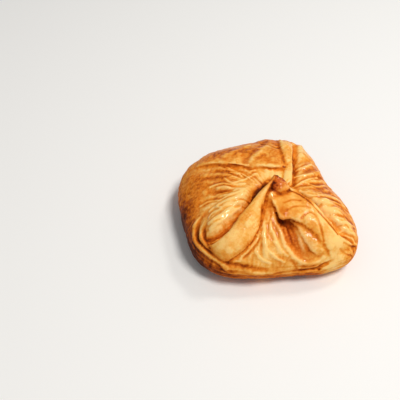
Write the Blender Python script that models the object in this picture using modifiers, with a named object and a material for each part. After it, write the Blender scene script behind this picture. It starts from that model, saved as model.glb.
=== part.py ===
"""A cheese pastry: a square of puff pastry folded over its filling into a flat-bottomed parcel.

The corners of the dough meet in a pinched knob above the front half. A fold runs from the knob along
each diagonal: a lens-shaped pleat to the front left, a broad torn leaf with a second layer under it
to the front right, a narrow strap to the back right, and a low sheet whose edge crosses the back.
All of it is one baked solid.

Units are metres, +Z is up, the front faces -Y and the origin is under the middle of the base.
The folds are given on the plain pillow that lies under them, as plan positions x, y and a lift
along the pillow's own outward direction, all in millimetres.
"""

import math

import bmesh
import bpy
import numpy as np

MM = 0.001

# Plan of the pillow: each side's facing angle in degrees and its distance from the middle.
SIDES = ((-83.7, 52.5), (18.6, 44.3), (108.0, 49.7), (190.0, 52.2))
CORNER_SHARPNESS = 3.65

# The middle of the finished outline, which becomes the origin.
OUTLINE_MIDDLE = (0.39, -0.54)

# Where the outline swells or draws in: the direction and half width in degrees, and how much.
OUTLINE_SWELLS = ((-14, 13, 2.0), (15, 12, -1.1), (62, 9, 1.0), (-58, 10, 0.8), (128, 14, 1.2))

# Side view of the pillow.
CROWN_HEIGHT = 35.0
WAIST_HEIGHT = 13.0
CROWN_FULLNESS = 3.0
FOOT_SHARE = 0.80
BASE_DEPTH = 2.0

# The pinched knob: a round lobe with a beak drawn out of it.
LOBE_CENTRE = (6.4, -11.4, 37.6)
LOBE_RADII = (6.6, 6.4, 7.8)
BEAK_TIP = (3.4, -6.2, 46.4)
BEAK_SHARPNESS = 3.0

# The front flap's gathered top, below the knob.
THROAT_CENTRE = (2.4, -13.6, 34.5)
THROAT_RADII = (4.8, 4.6, 6.6)

# The tent that the front flap makes as it rises to the knob.
TENT_FOOT = (3.5, -12.0)
TENT_RISE = 7.0
TENT_REACH = 17.0
TENT_SPREAD = 46.0
TENT_ROUND = 6.0
TENT_SIDE_POWER = 4
TENT_FALL_POWER = 1.4

# The folds' edges.
PLEAT_CREST = ((3.5, -6.5, 10.5), (0.5, -11, 9.4), (-6, -17, 7.4), (-10.5, -23.5, 6.4),
               (-16, -30.5, 5.6), (-21.5, -37, 4.8), (-26, -40.5, 4), (-31, -42.3, 2.8),
               (-36, -42, 0.4))
PLEAT_FOOT = ((2, -9, 9), (-3, -17.5, 6), (-5, -25, 3.5), (-6.5, -31.5, 2), (-9.5, -37.5, 1.2),
              (-13, -42.5, 0.8), (-18, -46.5, 0.5), (-25.5, -49.3, 0.2), (-33.5, -46.5, -0.2))
LEAF_CREST = ((7, -16.5, 5), (12.5, -13.5, 5), (15.5, -14, 5), (19.5, -18, 4.6),
              (24.5, -22, 4.4), (29, -27, 4.2), (32, -31, 4), (35.5, -33.5, 3.6),
              (38, -36.5, 3), (42, -39, 2.2), (50, -38.5, 0))
LEAF_TEAR = ((1, -20, 6.5), (4.5, -29.5, 5), (6.5, -31.7, 4.6), (11.5, -31.2, 4.4),
             (14, -32, 4), (18.5, -34, 3.4), (23, -37, 2.8), (26, -39, 2.4),
             (28.5, -41.5, 2.2), (31.5, -44, 1.8), (35, -47.5, 0.3))
UNDERLEAF_CREST = ((16, -26, 1.5), (21, -30, 1.8), (26, -35, 1.6), (31, -41, 1.2), (34, -45, 0.3))
UNDERLEAF_TEAR = ((11.5, -30.5, 0.6), (15.5, -35, 1.2), (18.5, -41, 1.2), (22.5, -45.5, 1),
                  (27.5, -48, 0))
SHEET_EDGE = ((-42, 19, 0.5), (-32.5, 16.5, 1.8), (-24, 14.5, 2), (-16, 11.5, 2.2),
              (-10.5, 12.2, 1.6), (-4.5, 11, 2.2), (2, 9.4, 2.4), (7, 9, 2.4), (12, 10.5, 1.5))
SHEET_BACK = ((-41, 31, -0.5), (-36, 36.5, -0.5), (-30, 40, -0.5), (-22, 42.5, -0.2),
              (-15, 44.5, 0), (-8, 46, 0), (-1, 47, 0), (6, 47, 0), (12, 44, -0.5))
STRAP_LEFT = ((9.5, -6, 0.5), (11.5, 9, 1.4), (12, 22, 1.8), (11.5, 36, 2), (12, 46, 0.5))
STRAP_RIGHT = ((14.5, -9, 0), (17, 9, 0.8), (18, 22, 1), (20, 36, 1.2), (21.5, 45, 0))

# Valleys pressed into the pillow and ridges raised on it: the plan path with the depth or
# height along it, and the half width.
VALLEYS = (
    # Behind the pleat's crest.
    (((1.5, -1.5, 0.5), (-3, -7, 3.2), (-8.5, -14.5, 5), (-13, -21, 5.6), (-18.5, -28, 5.6),
      (-23.5, -33.5, 5), (-28.5, -37.2, 4), (-33, -38.8, 2.8), (-37, -38.5, 1.2)), 3.3),
    # Under the leaf's torn edge, and down the hollow beside it.
    (((5, -24, 1.5), (8.5, -30.5, 4.6), (11, -33.5, 4.6), (12.5, -37.5, 3.2), (14.5, -42.5, 2.4),
      (18.5, -46, 1.6), (24, -48, 0.6)), 3.6),
    # Behind the leaf's crest.
    (((13, -10.5, 1.2), (17, -11.5, 2), (22, -16, 2.6), (27, -20.5, 2.8), (31.5, -25.5, 2.8),
      (35.5, -29.5, 2.6), (40, -33.5, 2.2), (46, -36.5, 1.2)), 1.8),
    # Beside the strap.
    (((15.5, -6, 1), (18.6, 9, 2), (20, 22, 2.4), (22, 36, 2.4), (24, 44, 1.5)), 2.0),
    # Between the pleat and the front flap.
    (((-2.5, -16.5, 0.8), (-5.5, -25, 2.2), (-7, -32, 2.8), (-10, -38.5, 2.8),
      (-14, -43.5, 2.6), (-18.5, -47, 2.2), (-24, -50, 1.2), (-30, -49, 0.6)), 1.5),
    # Right of the narrow pleat on the front flap.
    (((-4.5, -31, 0.4), (-5.5, -35.5, 1), (-8.5, -42, 1), (-12, -46, 0.8), (-16, -49, 0.4)), 0.9),
    # Between the front flap and the rolled lip.
    (((-33, -47.5, 1), (-24, -51, 1.6), (-13, -52.5, 1.6), (-3, -52.5, 1.2), (7, -51.8, 1.2),
      (15, -51.3, 1.6), (21, -51.4, 2.2), (27, -50.8, 2.4), (32, -49.8, 1.6), (36, -48.5, 0.5)), 1.2),
    # The dough's rolled layers at the front left corner.
    (((-34.5, -29, 0), (-37, -33, 0.8), (-37.8, -37, 1.4), (-37, -41.5, 1.5), (-34, -45.5, 1.3),
      (-29, -48, 1.1), (-23, -51.5, 0.4)), 1.0),
    (((-38, -22, 0), (-41.5, -29, 0.8), (-42.3, -33, 1.4), (-41.3, -38, 1.5), (-38, -43, 1.4),
      (-34, -47, 1.2), (-29, -50.5, 0.5)), 1.1),
)
RIDGES = (
    # The front flap's right edge, above the hollow.
    (((2, -22, 0.8), (3, -28, 1.6), (5.2, -34.5, 2), (7.5, -41, 1.8), (11, -46, 1.4),
      (17, -49, 1.1), (23.5, -49.8, 1.2), (28, -48.8, 1), (31, -47.5, 0.4)), 1.5),
    # Streaks down the hollow.
    (((11, -34, 0.3), (12.5, -38, 0.7), (14.5, -43, 0.5)), 0.7),
    (((13.5, -33, 0.3), (15.5, -38, 0.7), (19, -44.5, 0.5)), 0.7),
    # Pleats fanning down the front flap.
    (((-3.3, -25, 0.4), (-3.6, -32.5, 1.1), (-3.5, -42, 1.2), (-2.5, -49.5, 0.6)), 1.1),
    (((-0.5, -27, 0.4), (0.3, -35, 0.9), (2.5, -40.5, 0.9), (5.5, -47.5, 0.6)), 1.1),
    (((-6.5, -34, 0.4), (-8, -38, 1.2), (-10.5, -41.5, 1.2), (-14, -45, 1), (-18, -48.5, 0.4)), 0.9),
    # The rolled lip.
    (((-38.5, -42.7, 0.4), (-27.2, -51.5, 1), (-17, -53.6, 1.2), (-5.5, -54, 1.2),
      (6.5, -53, 1), (17.4, -52, 0.9), (29, -50.8, 0.8), (37.9, -48.2, 0.3)), 1.7),
    # The rolled layers.
    (((-35.5, -24, 0), (-39.3, -30.5, 0.6), (-39.8, -34, 1), (-39.3, -38.7, 1), (-37.6, -42.5, 1),
      (-34.5, -45.8, 1), (-29.5, -49.2, 0.6), (-23, -51.5, 0)), 1.1),
    (((-41, -20, 0), (-43.8, -29, 0.6), (-44, -32, 1), (-43, -37, 1), (-39.7, -42.7, 1),
      (-34, -48, 1), (-28, -51.6, 0.6)), 1.2),
)

# Soft swellings of the flaps: plan place, height and half width.
SWELLINGS = (
    ((-13, -10), 1.6, 7), ((-20, -18), 2.4, 7.5), ((-26, -26), 2.4, 7), ((-32, -31), 1.6, 5),
    ((-22, 1), 0.8, 8), ((23, -10), 1.8, 5.5), ((31, -16), 2.8, 6.5), ((39, -24), 2.6, 6),
    ((45, -31), 1.6, 5), ((26, 2), 1.2, 6), ((30, 14), 1.4, 6), ((27, 30), 1.6, 8),
    ((-28, 26), 1.0, 8), ((4, 36), 1.4, 9), ((-12, 30), 0.9, 8),
)

# Radial wrinkles of the flaps drawn in to the knob.
WRINKLE_HEIGHT = 0.45
WRINKLES_PER_TURN = 31
WRINKLE_WARP = 1.3
WARP_LENGTH = 6.0
WARP_LOBES = 3
WARP_SWING = 2.0
BUNCHES_PER_TURN = 5
BUNCH_LENGTH = 11.0
WRINKLE_START = 14.0
WRINKLE_END = 46.0
WRINKLE_FADE = 8.0

# How much a fold rises between its edges, and its thickness at each of them.
PLEAT_SECTION = (2.2, 9.0, 5.0)
LEAF_SECTION = (1.2, 6.0, 1.7)
UNDERLEAF_SECTION = (0.6, 3.0, 2.0)
SHEET_SECTION = (0.8, 2.4, 3.0)
STRAP_SECTION = (0.8, 3.0, 3.0)
END_TAPER = 6

# How finely the forms are drawn before they are fused.
SLOPE_STEP = 0.5
CREASE_POINTS = 30
ALONG_FOLD = 90
ACROSS_FOLD = 18
PILLOW_FINENESS = 7
BALL_FINENESS = 4

# Fusing: voxel size, rounds of smoothing, and the number of triangles that are kept.
VOXEL = 0.9
SMOOTHING_ROUNDS = 2
MOST_TRIANGLES = 11500

CRUST_COLOUR = (0.78, 0.36, 0.08, 1.0)
CRUST_ROUGHNESS = 0.42


def remove_startup_objects():
    for obj in list(bpy.data.objects):
        bpy.data.objects.remove(obj)


def plan_radius(x, y):
    """Distance from the middle to the outline in the direction of x, y."""
    angle = np.arctan2(y, x)
    total = sum(
        (np.maximum(np.cos(angle - math.radians(facing)), 0.0) / distance) ** CORNER_SHARPNESS
        for facing, distance in SIDES
    )
    radius = total ** (-1.0 / CORNER_SHARPNESS)
    for direction, spread, amount in OUTLINE_SWELLS:
        turn = np.degrees(angle) - direction
        radius = radius + amount * np.exp(-((turn / spread) ** 2))
    return radius


def pillow_height(x, y):
    """Height of the plain pillow's top at a plan position."""
    share = np.minimum(np.hypot(x, y) / plan_radius(x, y), 1.0)
    rise = np.sqrt(1.0 - share**CROWN_FULLNESS)
    return WAIST_HEIGHT + (CROWN_HEIGHT - WAIST_HEIGHT) * rise


def pillow_normal(x, y):
    """Outward direction of the pillow's top at a plan position."""
    step = SLOPE_STEP
    slope_x = (pillow_height(x + step, y) - pillow_height(x - step, y)) / (2 * step)
    slope_y = (pillow_height(x, y + step) - pillow_height(x, y - step)) / (2 * step)
    normal = np.stack([-slope_x, -slope_y, np.ones_like(slope_x)], axis=-1)
    return normal / np.linalg.norm(normal, axis=-1, keepdims=True)


def along_curve(knots, places):
    """Points at the places, from 0 to 1, of a smooth curve through the knots."""
    knots = np.asarray(knots, float)
    spans = len(knots) - 1
    knots = np.vstack([2 * knots[0] - knots[1], knots, 2 * knots[-1] - knots[-2]])
    place = np.clip(np.asarray(places) * spans, 0, spans - 1e-9)
    first = place.astype(int)
    t = (place - first)[:, None]
    a, b, c, d = (knots[first + shift] for shift in range(4))
    bend = 2 * a - 5 * b + 4 * c - d
    twist = 3 * b - a - 3 * c + d
    return 0.5 * (2 * b + (c - a) * t + bend * t**2 + twist * t**3)


def lifted(path):
    """Points that lie above the pillow, from rows of x, y and lift."""
    x, y, lift = path.T
    base = np.stack([x, y, pillow_height(x, y)], axis=-1)
    return base + pillow_normal(x, y) * lift[:, None]


def crease(points, knots, half_width):
    """Depth or height, at each of the points, of a valley or ridge along the knots."""
    x, y, size = along_curve(knots, np.linspace(0, 1, CREASE_POINTS)).T
    line = np.stack([x, y, pillow_height(x, y)], axis=-1)
    most = np.zeros(len(points))
    for start, end, size_a, size_b in zip(line[:-1], line[1:], size[:-1], size[1:]):
        along = end - start
        share = np.clip((points - start) @ along / (along @ along), 0.0, 1.0)
        gap = np.linalg.norm(points - start - share[:, None] * along, axis=1)
        here = (size_a + (size_b - size_a) * share) * np.exp(-((gap / half_width) ** 2))
        most = np.maximum(most, here)
    return most


def about_knob(points):
    """Plan distance of each point from the knob, and its direction, clockwise from the front."""
    x, y = points[:, 0] - TENT_FOOT[0], points[:, 1] - TENT_FOOT[1]
    return np.hypot(x, y), np.arctan2(-x, -y)


def in_front_flap(turn):
    """1 in the direction of the front flap, fading to 0 beside it."""
    return np.exp(-((np.degrees(turn) / TENT_SPREAD) ** TENT_SIDE_POWER))


def tent_lift(points):
    """Rise of the front flap towards the knob."""
    away, turn = about_knob(points)
    near = np.exp(-((away / TENT_ROUND) ** 2))
    rise = np.exp(-((away / TENT_REACH) ** TENT_FALL_POWER))
    return TENT_RISE * rise * np.maximum(in_front_flap(turn), near)


def wrinkle_lift(points):
    """Ridges of the side and back flaps that run towards the knob."""
    away, turn = about_knob(points)
    warp = WRINKLE_WARP * np.sin(away / WARP_LENGTH + WARP_SWING * np.sin(WARP_LOBES * turn))
    bunches = np.sin(BUNCHES_PER_TURN * turn + away / BUNCH_LENGTH)
    wave = np.sin(WRINKLES_PER_TURN * turn + warp) * bunches
    rise = np.clip((away - WRINKLE_START) / WRINKLE_FADE, 0, 1)
    fall = np.clip((WRINKLE_END - away) / WRINKLE_FADE, 0, 1)
    return WRINKLE_HEIGHT * wave * rise * fall * (1 - in_front_flap(turn))


def relief(points):
    """Lift of the pillow's skin at each point of its top."""
    lift = tent_lift(points) + wrinkle_lift(points)
    for (x, y), height, half_width in SWELLINGS:
        gap = np.hypot(points[:, 0] - x, points[:, 1] - y)
        lift += height * np.exp(-((gap / half_width) ** 2))
    ridges = [crease(points, knots, half_width) for knots, half_width in RIDGES]
    valleys = [crease(points, knots, half_width) for knots, half_width in VALLEYS]
    return lift + np.max(ridges, axis=0) - np.max(valleys, axis=0)


def shaped(bm, points):
    for vert, point in zip(bm.verts, points):
        vert.co = point * MM
    bm.normal_update()


def pillow():
    """The filled parcel with its valleys, without its folds."""
    bm = bmesh.new()
    bmesh.ops.create_icosphere(bm, subdivisions=PILLOW_FINENESS, radius=1.0)
    x, y, z = np.array([vert.co for vert in bm.verts]).T
    share = np.minimum(np.hypot(x, y), 1.0)
    radius = plan_radius(x, y)
    x, y = x * radius, y * radius
    overhang = np.clip((share - FOOT_SHARE) / (1 - FOOT_SHARE), 0, 1)
    below = WAIST_HEIGHT * (1 - np.sqrt(1 - overhang**2)) - BASE_DEPTH * (overhang == 0)
    points = np.stack([x, y, np.where(z >= 0, pillow_height(x, y), below)], axis=-1)
    shaped(bm, points)
    normals = np.array([vert.normal for vert in bm.verts])
    lift = np.where(z > 0, relief(points), 0.0)
    shaped(bm, points + normals * lift[:, None])
    return bm


def sheet(edge_a, edge_b, section):
    """A fold between two edges, crowned between them and solid down to its thickness."""
    crown, thick_a, thick_b = section
    bm = bmesh.new()
    bmesh.ops.create_grid(bm, x_segments=ALONG_FOLD, y_segments=ACROSS_FOLD, size=0.5)
    u, v, _ = (np.array([vert.co for vert in bm.verts]) + 0.5).T
    a = along_curve(edge_a, u)
    b = along_curve(edge_b, u)
    path = a + (b - a) * v[:, None]
    path[:, 2] += crown * 4 * v * (1 - v) * (1 - (2 * u - 1) ** END_TAPER)
    down = pillow_normal(path[:, 0], path[:, 1]) * (thick_a + (thick_b - thick_a) * v)[:, None]
    top = lifted(path)
    shaped(bm, top)
    made = bmesh.ops.extrude_face_region(bm, geom=list(bm.faces), use_keep_orig=True)
    lower = [item for item in made["geom"] if isinstance(item, bmesh.types.BMVert)]
    for vert, point in zip(lower, top - down):
        vert.co = point * MM
    return bm


def ball():
    """A ball of radius 1, and its points."""
    bm = bmesh.new()
    bmesh.ops.create_icosphere(bm, subdivisions=BALL_FINENESS, radius=1.0)
    return bm, np.array([vert.co for vert in bm.verts])


def knob():
    """The round lobe, with the beak drawn out of it."""
    bm, unit = ball()
    centre = np.array(LOBE_CENTRE)
    skin = unit * np.array(LOBE_RADII)
    beak = np.array(BEAK_TIP) - centre
    towards = np.maximum(unit @ (beak / np.linalg.norm(beak)), 0.0) ** BEAK_SHARPNESS
    shaped(bm, centre + skin + (beak - skin) * towards[:, None])
    return bm


def throat():
    """The gathered dough between the knob and the pleat."""
    bm, unit = ball()
    shaped(bm, np.array(THROAT_CENTRE) + unit * np.array(THROAT_RADII))
    return bm


def largest_shell(bm):
    """Drops every loose scrap and sealed hollow."""
    unseen = set(bm.verts)
    shells = []
    while unseen:
        shell = {unseen.pop()}
        front = list(shell)
        while front:
            vert = front.pop()
            for edge in vert.link_edges:
                other = edge.other_vert(vert)
                if other in unseen:
                    unseen.remove(other)
                    shell.add(other)
                    front.append(other)
        shells.append(shell)
    shells.sort(key=len)
    spare = [vert for shell in shells[:-1] for vert in shell]
    bmesh.ops.delete(bm, geom=spare, context="VERTS")


def evaluated_mesh(obj):
    graph = bpy.context.evaluated_depsgraph_get()
    return bpy.data.meshes.new_from_object(obj.evaluated_get(graph))


def fused(pieces):
    """One closed skin round all the pieces, cut flat at the base."""
    mesh = bpy.data.meshes.new("pastry_pieces")
    joined = bmesh.new()
    for bm in pieces:
        bmesh.ops.recalc_face_normals(bm, faces=bm.faces)
        bm.to_mesh(mesh)
        bm.free()
        joined.from_mesh(mesh)
    joined.to_mesh(mesh)
    joined.free()

    obj = bpy.data.objects.new("pastry_pieces", mesh)
    bpy.context.scene.collection.objects.link(obj)
    remesh = obj.modifiers.new("Fuse", "REMESH")
    remesh.mode = "VOXEL"
    remesh.voxel_size = VOXEL * MM
    smooth = obj.modifiers.new("Soften", "SMOOTH")
    smooth.iterations = SMOOTHING_ROUNDS
    bpy.context.view_layer.update()
    triangles = 2 * len(obj.evaluated_get(bpy.context.evaluated_depsgraph_get()).data.polygons)
    decimate = obj.modifiers.new("Fewer", "DECIMATE")
    decimate.ratio = MOST_TRIANGLES / triangles
    skin = evaluated_mesh(obj)
    bpy.data.objects.remove(obj)

    bm = bmesh.new()
    bm.from_mesh(skin)
    largest_shell(bm)
    cut = bmesh.ops.bisect_plane(
        bm, geom=bm.verts[:] + bm.edges[:] + bm.faces[:], dist=1e-6,
        plane_co=(0, 0, 0), plane_no=(0, 0, 1), clear_inner=True,
    )
    rim = [item for item in cut["geom_cut"] if isinstance(item, bmesh.types.BMEdge)]
    bmesh.ops.holes_fill(bm, edges=rim, sides=0)
    bmesh.ops.triangulate(bm, faces=bm.faces)
    bmesh.ops.recalc_face_normals(bm, faces=bm.faces)
    middle_x, middle_y = OUTLINE_MIDDLE
    bmesh.ops.translate(bm, verts=bm.verts, vec=(-middle_x * MM, -middle_y * MM, 0))
    return bm


def crust_material():
    material = bpy.data.materials.new("crust")
    material.use_nodes = True
    shader = material.node_tree.nodes["Principled BSDF"]
    shader.inputs["Base Color"].default_value = CRUST_COLOUR
    shader.inputs["Roughness"].default_value = CRUST_ROUGHNESS
    shader.inputs["Metallic"].default_value = 0.0
    return material


def main():
    remove_startup_objects()
    bm = fused([
        pillow(),
        sheet(PLEAT_CREST, PLEAT_FOOT, PLEAT_SECTION),
        sheet(LEAF_CREST, LEAF_TEAR, LEAF_SECTION),
        sheet(UNDERLEAF_CREST, UNDERLEAF_TEAR, UNDERLEAF_SECTION),
        sheet(SHEET_EDGE, SHEET_BACK, SHEET_SECTION),
        sheet(STRAP_LEFT, STRAP_RIGHT, STRAP_SECTION),
        knob(),
        throat(),
    ])
    mesh = bpy.data.meshes.new("pastry")
    bm.to_mesh(mesh)
    bm.free()
    mesh.shade_smooth()
    mesh.materials.append(crust_material())
    collection = bpy.data.collections.new("Cheese pastry")
    bpy.context.scene.collection.children.link(collection)
    collection.objects.link(bpy.data.objects.new("pastry", mesh))


if __name__ == "__main__":
    main()
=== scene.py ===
"""Dresses the plain baked pastry: folds it finely, wrinkles, blisters and browns its crust, and lights it.

Forms are given in millimetres on the plain pillow that lies under the folds, as plan positions x, y
and a lift along the pillow's own outward direction. The pastry's front faces -Y.
"""

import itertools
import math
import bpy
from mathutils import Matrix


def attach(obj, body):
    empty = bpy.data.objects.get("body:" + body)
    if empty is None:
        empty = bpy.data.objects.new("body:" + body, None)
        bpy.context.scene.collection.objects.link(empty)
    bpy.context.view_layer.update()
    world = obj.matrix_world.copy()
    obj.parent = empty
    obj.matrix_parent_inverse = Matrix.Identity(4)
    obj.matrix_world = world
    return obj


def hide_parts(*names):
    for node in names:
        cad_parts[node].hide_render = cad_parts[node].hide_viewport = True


bl_info = {
    "name": "Cheese Pastry",
    "version": (1, 0, 0),
    "blender": (4, 5, 0),
    "location": "3D View > Sidebar > Pastry",
    "description": "Bakes a fine crust onto a folded cheese pastry and sets it on a pale table",
    "category": "Object",
}

import bmesh
import bpy
import numpy as np
from bpy.props import FloatProperty, FloatVectorProperty, IntProperty, PointerProperty
from mathutils import Matrix, Vector
from mathutils.bvhtree import BVHTree

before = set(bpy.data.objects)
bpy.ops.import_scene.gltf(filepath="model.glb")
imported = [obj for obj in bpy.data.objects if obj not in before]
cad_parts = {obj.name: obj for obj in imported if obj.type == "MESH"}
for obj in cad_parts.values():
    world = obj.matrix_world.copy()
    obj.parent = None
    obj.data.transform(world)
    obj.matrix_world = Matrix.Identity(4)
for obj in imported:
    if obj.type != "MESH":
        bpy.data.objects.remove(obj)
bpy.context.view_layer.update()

MM = 0.001

# Plan of the pillow: each side's facing angle in degrees and its distance from the middle.
SIDES = ((-83.7, 52.5), (18.6, 44.3), (108.0, 49.7), (190.0, 52.2))
CORNER_SHARPNESS = 3.65
OUTLINE_SWELLS = ((-14, 13, 2.0), (15, 12, -1.1), (62, 9, 1.0), (-58, 10, 0.8), (128, 14, 1.2))
OUTLINE_MIDDLE = (0.39, -0.54)

# Side view of the pillow: heights of its top and widest part, how full its crown is, the share of
# its width that lies on the table, and the height up to which its side stays plain.
CROWN_HEIGHT = 35.0
WAIST_HEIGHT = 13.0
CROWN_FULLNESS = 3.0
FOOT_SHARE = 0.80
PLAIN_FOOT = 3.0

# The pinched knob: a round lobe with a beak drawn out of it.
LOBE_CENTRE = (6.4, -11.4, 37.6)
LOBE_RADII = (6.6, 6.4, 7.8)
BEAK_TIP = (3.4, -6.2, 46.4)
BEAK_SHARPNESS = 3.0

# The front flap's gathered top, below the knob.
THROAT_CENTRE = (2.4, -13.6, 34.5)
THROAT_RADII = (4.8, 4.6, 6.6)

# The tent that the front flap makes as it rises to the knob.
TENT_FOOT = (3.5, -12.0)
TENT_RISE = 7.0
TENT_REACH = 17.0
TENT_SPREAD = 46.0
TENT_ROUND = 6.0

# The folds' edges.
PLEAT_CREST = ((3.5, -6.5, 10.5), (0.5, -11, 9.4), (-6, -17, 7.4), (-10.5, -23.5, 6.4),
               (-16, -30.5, 5.6), (-21.5, -37, 4.8), (-26, -40.5, 4), (-31, -42.3, 2.8),
               (-34.5, -42, 0.6))
PLEAT_FOOT = ((3.8, -9.8, 8.8), (-1, -17, 6.8), (-3.8, -25.2, 3.6), (-5, -32, 2.2),
              (-7.8, -38.5, 1.4), (-11.5, -43.8, 1), (-17, -48, 0.7), (-25, -50.3, 0.5),
              (-32, -47.4, 0.2))
LEAF_CREST = ((7, -16.5, 5), (12.5, -13, 5), (16.5, -13.5, 5), (20.5, -17, 4.8),
              (25.5, -21, 4.6), (29.5, -26.5, 4.4), (32.5, -30.5, 4.2), (35.5, -33.5, 3.6),
              (38, -36.5, 3), (42, -39, 2.2), (50, -38.5, 0))
LEAF_TEAR = ((1, -20, 6.5), (4.5, -29.5, 5), (6.5, -31.7, 4.6), (11.5, -31.2, 4.4),
             (14, -32, 4), (18.5, -34, 3.4), (23, -37, 2.8), (26, -39, 2.4),
             (28.5, -41.5, 2.2), (31.5, -44, 1.8), (35, -47.5, 0.3))
UNDERLEAF_CREST = ((16, -26, 1.5), (21, -30, 1.8), (26, -35, 1.6), (31, -41, 1.2), (34, -45, 0.3))
UNDERLEAF_TEAR = ((11.5, -30.5, 0.6), (15.5, -35, 1.2), (18.5, -41, 1.2), (22.5, -45.5, 1),
                  (27.5, -48, 0))
SHEET_EDGE = ((-42, 19, 0.5), (-32.5, 16.5, 1.8), (-24, 14.5, 2), (-16, 11.5, 2.2),
              (-10.5, 12.2, 1.6), (-4.5, 11, 2.2), (2, 9.4, 2.4), (7, 9, 2.4), (12, 10.5, 1.5))
SHEET_BACK = ((-41, 31, -0.5), (-36, 36.5, -0.5), (-30, 40, -0.5), (-22, 42.5, -0.2),
              (-15, 44.5, 0), (-8, 46, 0), (-1, 47, 0), (6, 47, 0), (12, 44, -0.5))
STRAP_LEFT = ((9.5, -6, 0), (11.5, 9, 0.5), (12, 22, 1.4), (11.5, 36, 2), (12, 46, 0.5))
STRAP_RIGHT = ((14.5, -9, 0), (17, 9, 0.8), (18, 22, 1), (20, 36, 1.2), (21.5, 45, 0))

# How many notches a torn edge has, more or less.
TEARS_PER_EDGE = 26

# Valleys pressed into the pillow and ridges raised on it: the plan path with the depth or
# height along it, and the half width.
VALLEYS = (
    # Behind the pleat's crest.
    (((1.5, -1.5, 0.5), (-3, -7, 3.2), (-8.5, -14.5, 5), (-13, -21, 5.4), (-17.5, -27, 4),
      (-21, -31, 1)), 3.3),
    (((-14, -22.5, 1), (-19, -28.7, 4.8), (-24, -34, 4.4), (-28.5, -37.6, 3.2), (-33, -39, 2.2),
      (-37, -38.5, 1)), 2.1),
    # Under the leaf's torn edge, and down the hollow beside it.
    (((5, -24, 1.5), (8, -30.5, 4.4), (10.5, -33.5, 4.2), (11.5, -37.5, 3), (13, -42.5, 2.3),
      (17.5, -46.5, 1.6), (24, -48, 0.6)), 4.0),
    # Behind the leaf's crest.
    (((15, -10.5, 0), (18, -12, 1.2), (22, -16, 2.2), (27, -20.5, 2.8), (31.5, -25.5, 2.8),
      (35.5, -29.5, 2.6), (40, -33.5, 2.2), (46, -36.5, 1.2)), 1.8),
    # Beside the strap.
    (((15.5, -6, 1), (18.6, 9, 2), (20, 22, 1.8), (22, 36, 1.6), (24, 44, 1)), 2.0),
    # Between the pleat and the front flap.
    (((-2, -17.5, 0), (-4.2, -25, 1.8), (-5.3, -32.5, 2.6), (-8, -39.5, 2.6),
      (-12, -44.7, 2.2), (-17.5, -48.6, 1.4), (-24, -51, 0.5), (-30, -49.5, 0.2)), 1.5),
    # Right of the narrow pleat on the front flap.
    (((-3, -31, 0.4), (-4.2, -36.5, 1), (-7.2, -43, 1), (-10.8, -47, 0.8), (-15, -50, 0.4)), 0.9),
    # Between the front flap and the rolled lip.
    (((-29, -48.5, 0.5), (-23, -51.2, 1.2), (-14, -52.6, 0.8), (-4, -52.8, 0.3), (7, -52.4, 0.3),
      (15, -51.8, 1), (21, -51.6, 2.2), (27, -50.6, 2.4), (32, -49.4, 1.6), (36, -48, 0.5)), 1.2),
    # The dough's rolled layers at the front left corner.
    (((-34.5, -29, 0), (-36.8, -33, 0.8), (-37.3, -36.5, 1.2), (-36.2, -40, 1.1),
      (-33.5, -43.5, 0.6), (-29, -47, 0.3)), 1.1),
    (((-38, -22, 0), (-41, -29, 0.7), (-41.3, -33, 1), (-40.2, -37, 1), (-37, -41.5, 0.9),
      (-33, -45.5, 0.8), (-28, -49, 0.5)), 1.1),
)
RIDGES = (
    # The front flap's right edge, above the hollow.
    (((2, -22, 0.8), (2.6, -28, 1.4), (3.8, -33, 1), (6.5, -39, 1.5), (8.5, -44, 0.8),
      (13.5, -48.5, 1.1), (20, -50, 0.9), (27, -49.4, 1), (31, -47.5, 0.4)), 1.5),
    # Streaks down the hollow.
    (((8.5, -34, 0.3), (9.5, -38, 0.8), (11.5, -43, 0.5)), 0.7),
    (((11, -34, 0.3), (12.5, -38, 0.8), (15, -44.5, 0.5)), 0.7),
    (((13.5, -33, 0.3), (15.5, -38, 0.8), (19, -46.5, 0.5)), 0.7),
    # Pleats fanning down the front flap.
    (((-3.3, -25, 0.4), (-3.6, -32.5, 1.1), (-3.5, -42, 1.2), (-2.5, -49.5, 0.6)), 1.1),
    (((-0.5, -27, 0.4), (0.3, -35, 0.9), (2.5, -40.5, 0.9), (5.5, -47.5, 0.6)), 1.1),
    (((-5, -35, 0.4), (-6.4, -39.4, 1.2), (-9, -43, 1.2), (-12.7, -46.5, 1), (-17, -49.8, 0.4)), 0.9),
    # The rolled lip.
    (((-26, -53, 0.3), (-17, -54.6, 1), (-5.5, -54.6, 1.2), (6.5, -53.6, 1), (17.4, -52.4, 0.9),
      (29, -51, 0.8), (37.9, -48.2, 0.3)), 1.9),
    # The rolled layers.
    (((-35.5, -24, 0), (-38.9, -30.5, 0.6), (-39.2, -34, 1), (-38.4, -37.5, 1), (-36.3, -41, 1),
      (-33, -44.5, 0.9), (-28, -48, 0.6), (-23, -50.5, 0)), 1.0),
    (((-41, -20, 0), (-43, -29, 0.6), (-43.2, -32, 1), (-42, -36.5, 1.1), (-38.7, -41.5, 1.2),
      (-34, -46.2, 1.2), (-28, -50.2, 1), (-22, -53.5, 0.6)), 1.2),
)

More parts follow.
